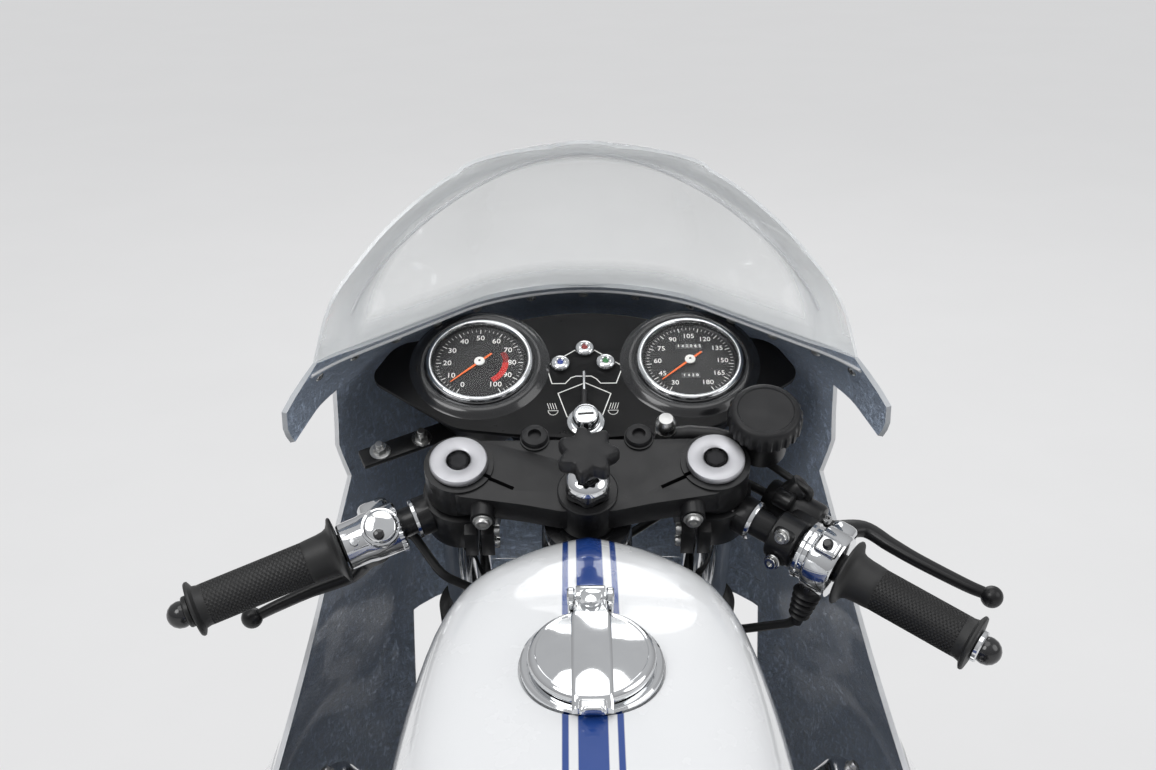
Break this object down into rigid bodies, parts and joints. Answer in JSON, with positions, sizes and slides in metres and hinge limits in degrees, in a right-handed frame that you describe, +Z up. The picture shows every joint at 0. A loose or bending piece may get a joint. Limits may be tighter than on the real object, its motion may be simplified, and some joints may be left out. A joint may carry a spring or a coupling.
{
  "type": "cafe racer motorcycle",
  "caption": "Cafe racer motorcycle with a bubble screen, full racing fairing, clip-on bars, transverse V-twin engine and wire wheels, on its centre stand",
  "frame": {"origin": "on the ground, midway between the wheels", "axes": "+X to the rider's right, +Y forward, +Z up"},
  "size_m": [0.6292, 2.1197, 1.141],
  "materials": {
    "white_paint": "gloss white lacquer with blue stripes",
    "blue_fibreglass": "hand-laid fibreglass, blue-grey gloss inside",
    "frame_paint": "gloss black",
    "cast_alloy": "sand-cast alloy",
    "polished_alloy": "polished",
    "chrome": "bright chrome",
    "steel": "bright steel",
    "black_metal": "satin black",
    "black_plastic": "moulded black",
    "tyre": "rubber",
    "grip_rubber": "moulded rubber",
    "vinyl": "stitched black vinyl",
    "clear_screen": "clear acrylic",
    "red_lens": "red lens",
    "lamp_glass": "clear lens over a bright reflector"
  },
  "bodies": {
    "frame": {"battery": "black_plastic", "carburettors": "cast_alloy", "crankcase": "cast_alloy", "cylinder_left": "cast_alloy", "cylinder_right": "cast_alloy", "dash_panel": "black_metal", "dash_switches": "chrome", "exhaust_left": "chrome", "exhaust_right": "chrome", "fairing_bracket": "frame_paint", "fairing_side_left": "blue_fibreglass", "fairing_side_right": "blue_fibreglass", "fairing_upper": "blue_fibreglass", "filler_ring": "chrome", "footrests": "polished_alloy", "fuel_tank": "white_paint", "gearbox": "cast_alloy", "headlamp": "lamp_glass", "instruments": "chrome", "main_frame": "frame_paint", "rear_mudguard": "white_paint", "rear_subframe": "frame_paint", "rocker_covers": "polished_alloy", "seat_pad": "vinyl", "seat_tail": "white_paint", "shocks": "chrome", "swingarm": "frame_paint", "tail_lamp": "red_lens", "windscreen": "clear_screen"},
    "steering": {"fork_left": "steel", "fork_right": "steel", "front_axle": "steel", "top_clamp": "black_metal", "steering_stem": "black_metal", "damper_knob": "chrome", "clip_ons": "black_metal", "grips": "grip_rubber", "switch_housings": "chrome", "clutch_lever": "black_metal", "brake_lever": "black_metal", "brake_reservoir": "black_plastic", "front_mudguard": "white_paint", "brake_calipers": "black_metal", "brake_hose": "black_plastic", "control_cables": "black_plastic"},
    "front_wheel_body": {"front_tyre": "tyre", "front_wheel": "polished_alloy", "front_discs": "steel"},
    "rear_wheel_body": {"rear_tyre": "tyre", "rear_wheel": "polished_alloy"},
    "stand": {"centre_stand": "frame_paint"},
    "lid": {"filler_lid": "chrome"}
  },
  "joints": [
    {"name": "steering", "type": "hinge", "parent": "frame", "child": "steering", "pos_m": [0, 0.39934, 0.91799], "axis": [0, -0.4617, 0.887], "range_deg": [-20, 20]},
    {"name": "front_wheel_spin", "type": "hinge", "parent": "steering", "child": "front_wheel_body", "pos_m": [0, 0.73995, 0.32], "axis": [1, 0, 0], "continuous": true},
    {"name": "rear_wheel_spin", "type": "hinge", "parent": "frame", "child": "rear_wheel_body", "pos_m": [0, -0.74, 0.335], "axis": [1, 0, 0], "continuous": true},
    {"name": "stand_fold", "type": "hinge", "parent": "frame", "child": "stand", "pos_m": [0, -0.15, 0.146], "axis": [-1, 0, 0], "range_deg": [0, 95]},
    {"name": "filler_lid_open", "type": "hinge", "parent": "frame", "child": "lid", "pos_m": [0, 0.24641, 0.92028], "axis": [-1, 0, 0], "range_deg": [0, 100]}
  ]
}
